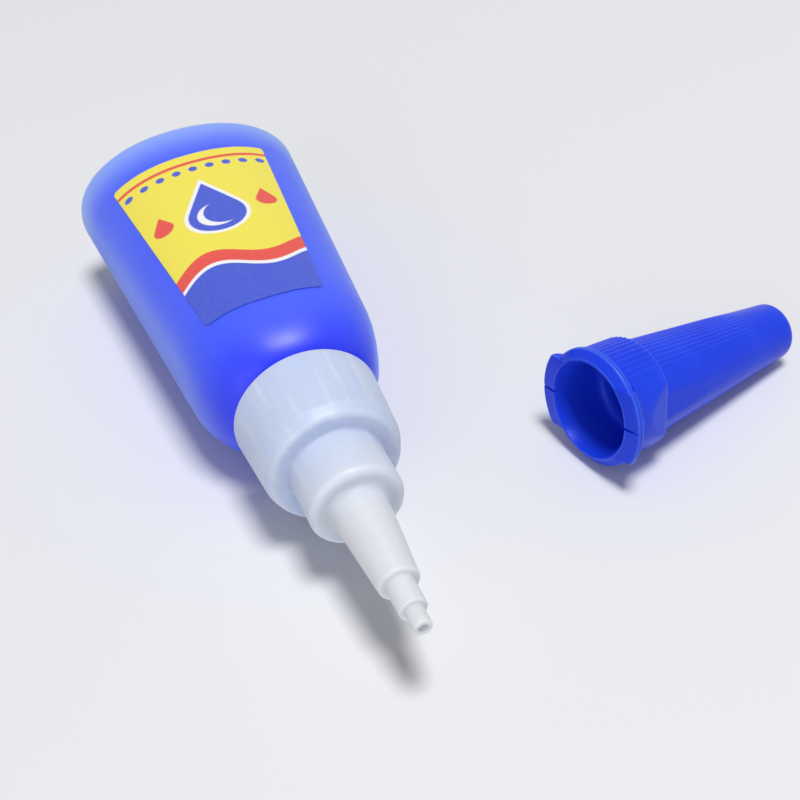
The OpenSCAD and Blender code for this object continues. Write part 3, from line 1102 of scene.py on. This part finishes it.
@dataclass
class Bottle:
    """The blown bottle: an oval body, a shoulder and a screw neck, with its wall and hollow."""

    # The oval body, the powers of its section and its shoulder
    body_len: float = 55.5
    base_wide: float = 33.4
    shoulder_wide: float = 23.2
    deep: float = 21.8
    base_power: float = 2.1
    shoulder_power: float = 2.6
    top_power: float = 2.0
    base_round: float = 2.4
    shoulder_drop: float = 9.0
    shoulder_in: float = 4.0
    wall: float = 1.0
    parting_ridge: float = 0.04
    # The neck and its thread
    neck_radius: float = 6.6
    neck_wall: float = 1.4
    neck_round: float = 0.35
    neck_fillet: float = 0.45
    neck_land: float = 0.25
    bore_land: float = 1.2
    thread_start: float = 57.2
    thread_turns: float = 2.7
    # The shallow dish in the base
    dish_land: float = 1.5
    dish_slope: float = 1.2
    dish_depth: float = 0.35
    # How finely it is drawn, and where the frame says that the neck ends
    dish_steps: int = 4
    bands: int = 12
    turn: float = 9.0
    sides: int = 240
    neck_end: float = field(default_factory=lambda: -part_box("bottle")[0].y / MM)

    def half_wide(self, along: float) -> float:
        """Returns half the body's width at a height."""
        return (self.base_wide + (self.shoulder_wide - self.base_wide) * along / self.body_len) / 2

    def climb(self, along: float) -> float:
        """Returns 0 up to the start of the shoulder and 1 at its top."""
        return max(0.0, 1 - (self.body_len - along) / self.shoulder_drop)

    def power(self, along: float) -> float:
        """Finds the power of the body's oval.

        Args:
            along: The height above the base.

        Returns:
            2 for an ellipse, and more for a squarer oval.
        """
        straight = min(1.0, along / (self.body_len - self.shoulder_drop))
        flat = self.base_power + (self.shoulder_power - self.base_power) * straight
        return flat + (self.top_power - flat) * self.climb(along)

    def oval(self, along: float, inset: float, ridge: float = 0.0) -> Ring:
        """Returns the body's ring at a height, drawn in by an inset."""
        return Ring(along, self.half_wide(along) - inset, self.deep / 2 - inset, self.power(along), ridge)

    def front(self, across: float, along: float, rise: float) -> Triple:
        """Finds a point of the labelled front.

        Args:
            across: The point's distance from the middle.
            along: Its height above the base.
            rise: How far it is raised from the skin.

        Returns:
            The point in metres.
        """
        bend = self.power(along)
        lift = rise - self.shoulder_in * (1 - math.sqrt(1 - self.climb(along) ** 2))
        share = abs(across) / (self.half_wide(along) + lift)
        up = (self.deep / 2 + lift) * (1 - share ** bend) ** (1 / bend)
        return across * MM, -along * MM, up * MM

    def turns(self) -> list[float]:
        """Returns the angles of a quarter turn."""
        steps = round(90 / self.turn)
        return [math.radians(90 * k / steps) for k in range(steps + 1)]

    def skin(self, depth: float) -> list[Ring]:
        """Draws the body's skin.

        Args:
            depth: How far the skin is moved in.

        Returns:
            The rings from the base's edge to the top of the shoulder.
        """
        low, high = self.base_round, self.body_len - self.shoulder_drop
        base, drop, reach = self.base_round - depth, self.shoulder_drop - depth, self.shoulder_in - depth
        ridge = self.parting_ridge if depth == 0 else 0.0
        rings = [self.oval(low - base * math.cos(t), depth + base * (1 - math.sin(t))) for t in self.turns()]
        rings += [self.oval(low + (high - low) * k / self.bands, depth, ridge) for k in range(1, self.bands)]
        rings += [self.oval(high + drop * math.sin(t), depth + reach * (1 - math.cos(t))) for t in self.turns()]
        return rings

    def disc(self, edge: Ring, steps: int = 4) -> list[Ring]:
        """Returns rings from a flat's middle to just inside its edge."""
        return [Ring(edge.along, edge.half_wide * k / steps, edge.half_deep * k / steps, edge.power)
                for k in range(steps)]

    def dish(self) -> list[Ring]:
        """Draws the dish in the base.

        Returns:
            The rings from the dish's floor up its slope to the level of the base.
        """
        rings: list[Ring] = []
        for k in range(self.dish_steps + 1):
            share = k / self.dish_steps
            inset = self.base_round + self.dish_land + self.dish_slope * (1 - share)
            sink = self.dish_depth * (1 + math.cos(math.pi * share)) / 2
            rings.append(replace(self.oval(0.0, inset), along=sink))
        return rings

    def neck(self) -> list[Ring]:
        """Draws the neck.

        Returns:
            The rings from the top of the shoulder over the lip and down the bore to the hollow.
        """
        bore = self.neck_radius - self.neck_wall
        top, inner_top = self.body_len, self.body_len - self.wall
        outline = fillet([
            (self.neck_radius + self.neck_land, top, 0), (self.neck_radius, top, self.neck_fillet),
            (self.neck_radius, self.neck_end, self.neck_round), (bore, self.neck_end, self.neck_round),
            (bore, inner_top, self.neck_fillet), (bore + self.bore_land, inner_top, 0)], loop=False)
        return [Ring(along, radius, radius) for radius, along in outline]

    def rings(self) -> list[Ring]:
        """Draws the whole bottle.

        Returns:
            Every ring, from the middle of the base round the lip to the floor of the hollow.
        """
        dish, inside = self.dish(), self.skin(self.wall)
        outside = self.disc(dish[0]) + dish + self.skin(0.0)
        return outside + self.neck() + inside[::-1] + self.disc(inside[0])[::-1]

    def build(self, finish: bpy.types.Material) -> None:
        """Makes the shell and the neck's thread.

        Args:
            finish: The bottle's material.
        """
        profile = profile_mesh("bottle_profile", self.rings())
        shell = oval_tree().make("bottle_shell", profile, finish, Sides=self.sides)
        keep(shell, Body.BOTTLE, Slot.BOTTLE, "bottle")
        thread = Thread(self.neck_radius, self.thread_start, self.thread_turns).build("neck_thread", finish)
        keep(thread, Body.BOTTLE, Slot.BOTTLE)


@dataclass
class Label:
    """The printed sheet on the bottle's front."""

    start: float = 9.7
    length: float = 36.8
    broad: float = 22.2
    narrow: float = 15.2
    shift: float = -0.85
    corner: float = 0.6
    thick: float = 0.1
    film: float = 0.03
    columns: int = 72
    bands: int = 96
    corner_steps: int = 6

    def half_wide(self, along: float) -> float:
        """Returns half the label's width at a distance from its broad edge."""
        return (self.broad + (self.narrow - self.broad) * along / self.length) / 2

    def rows(self) -> list[Pair]:
        """Divides the label into rows, closer at its rounded corners.

        Returns:
            Each row's distance from the broad edge and half width.
        """
        turns = [math.pi / 2 * k / self.corner_steps for k in range(self.corner_steps)]
        near = [(self.corner * (1 - math.cos(t)), self.corner * (1 - math.sin(t))) for t in turns]
        run = self.length - 2 * self.corner
        middle = [(self.corner + run * k / self.bands, 0.0) for k in range(self.bands + 1)]
        far = [(self.length - along, inset) for along, inset in near[::-1]]
        return [(along, self.half_wide(along) - inset) for along, inset in near + middle + far]

    def faces(self, rows: int) -> list[tuple[int, ...]]:
        """Joins the points of the sheet's two skins.

        Args:
            rows: How many rows of points a skin has.

        Returns:
            The faces of the under skin, of the upper skin and of the edge between them.
        """
        wide = self.columns + 1
        top = rows * wide
        under = [(r * wide + c, r * wide + c + 1, (r + 1) * wide + c + 1, (r + 1) * wide + c)
                 for r in range(rows - 1) for c in range(self.columns)]
        upper = [tuple(top + i for i in cell[::-1]) for cell in under]
        rim = [*range(wide), *(r * wide + wide - 1 for r in range(1, rows)),
               *(top - 1 - c for c in range(1, wide)), *(r * wide for r in range(rows - 2, 0, -1))]
        return under + upper + [(a, top + a, top + b, b) for a, b in zip(rim, rim[1:] + rim[:1])]

    def build(self, bottle: Bottle, finish: bpy.types.Material, span: float) -> None:
        """Makes the sheet on the bottle's front.

        Args:
            bottle: The bottle that carries the label.
            finish: The printed film.
            span: Millimetres that one unit of the print's map stands for.
        """
        rows = self.rows()
        flat = [(half * (2 * i / self.columns - 1), along) for along, half in rows for i in range(self.columns + 1)]
        skins = [bottle.front(self.shift + x, self.start + y, rise)
                 for rise in (self.film, self.film + self.thick) for x, y in flat]
        mesh = bpy.data.meshes.new("label_sheet")
        mesh.from_pydata(skins, [], self.faces(len(rows)))
        layer = mesh.uv_layers.new(name="print")
        corners = np.empty(len(mesh.loops), dtype=np.int32)
        mesh.loops.foreach_get("vertex_index", corners)
        places = np.array(flat)[corners % len(flat)] / span + np.array((0.5, 0.0))
        layer.data.foreach_set("uv", places.ravel())
        mesh.shade_smooth()
        mesh.materials.append(finish)
        face_out(mesh)
        sheet = bpy.data.objects.new("label_sheet", mesh)
        bpy.context.scene.collection.objects.link(sheet)
        keep(sheet, Body.BOTTLE, Slot.LABEL, "label")


@dataclass
class Nozzle:
    """The moulded nozzle: screw collar, step for the cap, tapered spout and stepped tip."""

    # The collar, the web at its front and the thread in its socket
    collar_len: float = 10.9
    collar_rear: float = 9.3
    collar_front: float = 8.6
    bevel_len: float = 1.6
    bevel_in: float = 0.6
    web: float = 1.5
    web_floor: float = 0.75
    socket: float = 7.3
    thread_start: float = 58.4
    thread_turns: float = 2.5
    # The plug that seals the neck, and the step that the cap goes on
    plug: float = 5.15
    plug_wall: float = 0.8
    plug_len: float = 2.4
    step: float = 5.75
    step_len: float = 7.2
    step_wall: float = 1.2
    # The spout from its root to its mouth, the two steps of the tip and the orifice
    root: float = 3.45
    mouth: float = 2.4
    spout_len: float = 12.2
    spout_wall: float = 1.0
    tip: float = 1.65
    tip_len: float = 3.8
    end: float = 1.1
    orifice: float = 0.55
    # How finely it is drawn, and where the frame says that it starts and ends
    sides: int = 192
    rear_at: float = field(default_factory=lambda: -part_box("nozzle")[1].y / MM)
    end_at: float = field(default_factory=lambda: -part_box("nozzle")[0].y / MM)

    def corners(self) -> list[Triple]:
        """Draws the section, round the outside to the orifice and back through the passage.

        Returns:
            The radius, the distance along the axis and the rounding of each corner.
        """
        front = self.rear_at + self.collar_len
        bevel, web = front - self.bevel_len, front - self.web
        step = front + self.step_len
        spout = step + self.spout_len
        tip = spout + self.tip_len
        edge, plug_in = self.collar_front - self.bevel_in, self.plug - self.plug_wall
        step_in, floor, plug_end = self.step - self.step_wall, web + self.web_floor, web - self.plug_len
        return [
            (self.collar_rear, self.rear_at, 0.3), (self.collar_front, bevel, 1.2), (edge, front, 0.9),
            (self.step, front, 0.35), (self.step, step, 0.95), (self.root, step, 0.9),
            (self.mouth, spout, 0.45), (self.tip, spout, 0.3), (self.tip, tip, 0.3),
            (self.end, tip, 0.2), (self.end, self.end_at, 0.3), (self.orifice, self.end_at, 0.1),
            (self.orifice, spout, 0.2), (self.mouth - self.spout_wall, spout - self.spout_wall, 0.3),
            (self.root - self.spout_wall, step, 0.4), (step_in, step - self.step_wall, 0.5), (step_in, floor, 0.15),
            (plug_in, floor, 0.15), (plug_in, plug_end, 0.1), (self.plug, plug_end, 0.3),
            (self.plug, web, 0.2), (self.socket, web, 0.3), (self.socket, self.rear_at, 0.25)]

    def build(self, finish: bpy.types.Material) -> None:
        """Makes the moulding and the thread in its collar.

        Args:
            finish: The nozzle's material.
        """
        outline = fillet(self.corners(), loop=True)
        # Its outer edges are marked for wear and a painted edge highlight
        rings = [Ring(along, radius, radius, wear_and_highlight=wear_and_highlight) for (radius, along), wear_and_highlight in zip(outline, outer_edges(outline))]
        profile = profile_mesh("nozzle_profile", rings)
        moulding = oval_tree().make("nozzle_moulding", profile, finish, Sides=self.sides)
        keep(moulding, Body.NOZZLE, Slot.NOZZLE, "nozzle")
        thread = Thread(self.socket, self.thread_start, self.thread_turns).build("collar_thread", finish)
        keep(thread, Body.NOZZLE, Slot.NOZZLE)


@dataclass
class Cap:
    """The moulded cap, off the spout: ribbed sleeve and cone with two flats, a rim with two slit tabs, and a pin."""

    # The closed end and the cone
    length: float = 33.3
    end: float = 3.755
    end_round: float = 1.0
    end_wall: float = 1.2
    cone_foot: float = 6.25
    cone_wall: float = 1.3
    # The sleeve, and the chamfer and rake at its back
    sleeve_len: float = 7.5
    sleeve: float = 7.25
    sleeve_back: float = 7.1
    chamfer: float = 0.3
    back_rake: float = 0.06
    # The rim and the length that it and the tabs are drawn over
    rim: float = 7.7
    rim_len: float = 1.4
    rim_bevel: float = 0.9
    rim_zone: float = 2.6
    # The mouth, the bore to its seat and the pin
    lip: float = 6.6
    mouth: float = 6.3
    mouth_len: float = 1.8
    bore: float = 5.8
    seat: float = 6.8
    pin: float = 0.5
    pin_from: float = 24.3
    # The tabs and their slits
    tab: float = 8.6
    tab_len: float = 1.0
    tab_bevel: float = 0.3
    tab_set: float = 0.05
    tab_half: float = 4.9
    slit_half: float = 0.15
    slit_depth: float = 0.4
    # The two flats
    flat_from: float = 3.6
    flat_foot: float = 6.0
    flat_to: float = 18.2
    crease: float = 0.1
    # The ribs, with their pitch in degrees, and where they start and fade
    rib_count: float = 14.0
    rib_pitch: float = 6.4
    rib_height: float = 0.1
    rib_from: float = 1.9
    rib_full: float = 2.5
    fade_from: float = 23.0
    fade_to: float = 27.3
    # How it lies: its roll in degrees, and how far behind the mouth the frame's bore starts
    roll: float = 11.0
    flare: float = 0.5
    # How finely it is drawn
    zone_points: int = 36
    shell_step: float = 0.7
    inside_step: float = 2.0
    sides: int = 400

    def cone(self, along: float) -> float:
        """Returns the cone's radius at a distance from the mouth."""
        share = (along - self.sleeve_len) / (self.length - self.sleeve_len)
        return self.cone_foot + (self.end - self.cone_foot) * share

    def flat_at(self, along: float) -> float:
        """Finds how far the flats stand from the axis.

        Args:
            along: The distance from the mouth.

        Returns:
            The flats' distance, or the tabs' radius where there is no flat.
        """
        heights = (self.flat_from, self.sleeve_len, self.flat_to)
        if not heights[0] <= along <= heights[2]:
            return self.tab
        return float(np.interp(along, heights, (self.sleeve, self.flat_foot, self.cone(self.flat_to))))

    def rib_at(self, along: float) -> float:
        """Returns the ribs' height at a distance from the mouth."""
        heights = (self.rib_from, self.rib_full, self.fade_from, self.fade_to)
        return self.rib_height * float(np.interp(along, heights, (0.0, 1.0, 1.0, 0.0)))

    def join(self) -> Triple:
        """Returns the corner where the shell's outline meets the rim's."""
        slope = (self.sleeve - self.sleeve_back) / (self.sleeve_len - self.rim_len)
        return self.sleeve - slope * (self.rim_zone - self.rim_len), self.rim_zone, 0.0

    def brim(self) -> Triple:
        """Returns the corner in the middle of the mouth's edge, where the outside meets the inside."""
        return (self.lip + self.mouth) / 2, 0.0, 0.0

    def shell(self) -> list[Pair]:
        """Draws the outside of the cone and the sleeve.

        Returns:
            The outline's points, from the middle of the closed end to the rim.
        """
        return fillet([
            (0.0, self.length, 0.0), (self.end, self.length, self.end_round),
            (self.cone_foot, self.sleeve_len + self.back_rake, 0.3),
            (self.sleeve_back - self.chamfer, self.sleeve_len - self.back_rake, 0.15),
            (self.sleeve_back, self.sleeve_len - self.chamfer, 0.2), self.join()], loop=False)

    def plain_rim(self) -> list[Pair]:
        """Draws the rim between the tabs.

        Returns:
            The outline's points, from the sleeve to the mouth's edge.
        """
        return fillet([
            self.join(), (self.sleeve, self.rim_len + self.rim - self.sleeve, 0.35), (self.rim, self.rim_len, 0.25),
            (self.rim, self.rim_bevel, 0.35), (self.lip, 0.0, 0.15), self.brim()], loop=False)

    def tabbed_rim(self) -> list[Pair]:
        """Draws the rim in a tab.

        Returns:
            The outline's points, from the sleeve to the mouth's edge.
        """
        return fillet([
            self.join(), (self.sleeve, self.tab_len + self.tab - self.sleeve, 0.25), (self.tab, self.tab_len, 0.2),
            (self.tab, self.tab_bevel, 0.12), (self.lip, self.tab_set, 0.1), self.brim()], loop=False)

    def inside(self) -> list[Pair]:
        """Draws the bore, the hollow of the cone and the pin.

        Returns:
            The outline's points, from the mouth's edge to the pin's tip.
        """
        hollow = self.cone(self.seat) - self.cone_wall
        ceiling = self.length - self.end_wall
        return fillet([
            self.brim(), (self.mouth, 0.0, 0.1), (self.bore, self.mouth_len, 1.5), (self.bore, self.seat, 2.0),
            (hollow, self.seat + self.bore - hollow, 2.0), (self.end - self.cone_wall, ceiling, 0.8),
            (self.pin, ceiling, 0.4), (self.pin, self.pin_from, 0.3), (0.0, self.pin_from, 0.0)], loop=False)

    def rings(self) -> list[CapRing]:
        """Draws the whole cap, with a second outline in the tabs beside the plain one.

        Returns:
            Every ring, from the closed end over the rim and through the bore to the pin's tip.
        """
        shell, inside = fine(self.shell(), self.shell_step), fine(self.inside(), self.inside_step)
        rims = zip(spread(self.plain_rim(), self.zone_points), spread(self.tabbed_rim(), self.zone_points))
        rings = [CapRing(z, r, z, r, self.flat_at(z), self.rib_at(z)) for r, z in shell[:-1]]
        rings += [CapRing(z, r, tab_z, tab_r, self.tab, self.rib_at(z)) for (r, z), (tab_r, tab_z) in rims]
        hidden = [CapRing(z, r, z, r, self.tab, 0.0) for r, z in inside[1:]]
        whole = rings + hidden
        # The outer edges are marked for wear and a painted edge highlight; the inside gets none
        marks = zip(outer_edges([(ring.radius, ring.along) for ring in whole]),
                    outer_edges([(ring.tab_radius, ring.tab_along) for ring in whole]))
        return [replace(ring, wear_and_highlight=wear_and_highlight, tab_wear_and_highlight=tab_wear_and_highlight) for ring, (wear_and_highlight, tab_wear_and_highlight) in zip(rings, marks)] + hidden

    def stance(self) -> Matrix:
        """Finds where the cap lies, from the place of its bore in the frame's record.

        Returns:
            The move from the upright cap to the lying one.
        """
        mount = next(m for m in frame["record"]["mounts"] if m["name"] == "cap_mouth")
        back = -Vector(mount["axis"])
        middle = self.flare * MM + mount["dims"]["length_mm"] * MM / 2
        heading, tilt = math.atan2(back.y, back.x), -math.asin(back.z)
        roll = Matrix.Rotation(math.pi / 2 - math.radians(self.roll), 4, "Z")
        turn = Matrix.Rotation(heading, 4, "Z") @ Matrix.Rotation(math.pi / 2 + tilt, 4, "Y") @ roll
        return Matrix.Translation(Vector(mount["pos_m"]) - back * middle) @ turn

    def build(self, finish: bpy.types.Material) -> None:
        """Makes the moulding and lays it beside the bottle.

        Args:
            finish: The cap's material.
        """
        profile = profile_mesh("cap_profile", self.rings())
        moulding = cap_tree().make(
            "cap_moulding", profile, finish, Sides=self.sides, Ribs=self.rib_count, Rib_Pitch=self.rib_pitch,
            Tab_Half=self.tab_half, Crease=self.crease, Slit_Half=self.slit_half, Slit_Depth=self.slit_depth)
        moulding.data.transform(self.stance())
        keep(moulding, Body.CAP, Slot.CAP, "cap")


class Lamp(Enum):
    """The studio's lamps: place and aim in millimetres, width in millimetres and power in watts."""

    OVERHEAD = ((125.0, -215.0, 1200.0), (15.0, -45.0, 0.0), 380.0, 12.0)
    FILL = ((-640.0, -720.0, 290.0), (15.0, -45.0, 0.0), 760.0, 2.1)


@dataclass
class Studio:
    """The pale board, the soft lamps, the pale surround and the camera."""

    board_half: float = 3000.0
    ambient: float = 0.265
    eye: Triple = (-27.1, -171.3, 106.2)
    aim: Triple = (14.88, -47.92, -10.9)
    roll: float = 5.04
    lens: float = 58.5
    sensor: float = 36.0
    nearest: float = 1.0

    def build(self, finish: bpy.types.Material) -> None:
        """Makes the stage round the object.

        Args:
            finish: The board's material.
        """
        self.lay_board(finish)
        self.light()
        self.surround_with()
        self.look()

    def lay_board(self, finish: bpy.types.Material) -> None:
        """Makes the board under the object.

        Args:
            finish: The board's material.
        """
        low = CAD_BOX[0].z
        half = self.board_half * MM
        mesh = bpy.data.meshes.new("board")
        mesh.from_pydata([(-half, -half, low), (half, -half, low), (half, half, low), (-half, half, low)], [],
                         [(0, 1, 2, 3)])
        mesh.materials.append(finish)
        board = bpy.data.objects.new("board", mesh)
        bpy.context.scene.collection.objects.link(board)

    def light(self) -> None:
        """Hangs the lamps."""
        for lamp in Lamp:
            place, aim, width, power = lamp.value
            data = bpy.data.lights.new(lamp.name.lower(), "AREA")
            data.shape = "DISK"
            data.size = width * MM
            data.energy = power
            stand = bpy.data.objects.new(lamp.name.lower(), data)
            stand.location = Vector(place) * MM
            stand.rotation_euler = (Vector(aim) - Vector(place)).to_track_quat("-Z", "Y").to_euler()
            bpy.context.scene.collection.objects.link(stand)

    def surround_with(self) -> None:
        """Fills the surround: dim light on the object, and a pale backdrop to the eye and in gloss."""
        world = bpy.data.worlds.new("surround")
        world.use_nodes = True
        bpy.context.scene.world = world
        graph = Graph(world.node_tree)
        world.node_tree.nodes.clear()
        colour = (*SURROUND, 1.0)
        dim = graph.add("ShaderNodeBackground", None, Color=colour, Strength=self.ambient)
        pale = graph.add("ShaderNodeBackground", None, Color=colour, Strength=1.0)
        mixed = graph.add("ShaderNodeMixShader", None, i0=graph.in_sight(), i1=dim, i2=pale)
        graph.add("ShaderNodeOutputWorld", None, Surface=mixed)

    def look(self) -> None:
        """Sets the camera where the picture was taken from."""
        ahead = (Vector(self.aim) - Vector(self.eye)).normalized()
        level = ahead.cross(Vector((0.0, 0.0, 1.0))).normalized()
        down = ahead.cross(level)
        turn = math.radians(self.roll)
        right = math.cos(turn) * level + math.sin(turn) * down
        up = math.sin(turn) * level - math.cos(turn) * down
        data = bpy.data.cameras.new("camera")
        data.lens = self.lens
        data.sensor_width = self.sensor
        data.clip_start = self.nearest * MM
        camera = bpy.data.objects.new("camera", data)
        axes = Matrix((right, up, -ahead)).transposed().to_4x4()
        camera.matrix_world = Matrix.Translation(Vector(self.eye) * MM) @ axes
        bpy.context.scene.collection.objects.link(camera)
        bpy.context.scene.camera = camera
        bpy.context.scene.view_settings.view_transform = "Standard"


def main() -> None:
    """Builds the object piece by piece and reports each one."""
    logging.basicConfig(level=logging.INFO, format="%(name)s: %(message)s")
    bottle = Bottle()
    bottle.build(BlownBlue().material())
    film = PrintedFilm()
    Label().build(bottle, film.material(), film.span)
    Nozzle().build(NaturalMoulding().material())
    Cap().build(GlossBlue().material())
    paint_node("adhesive", ClearLiquid().material())
    Studio().build(PaleBoard().material())


if __name__ == "__main__":
    main()
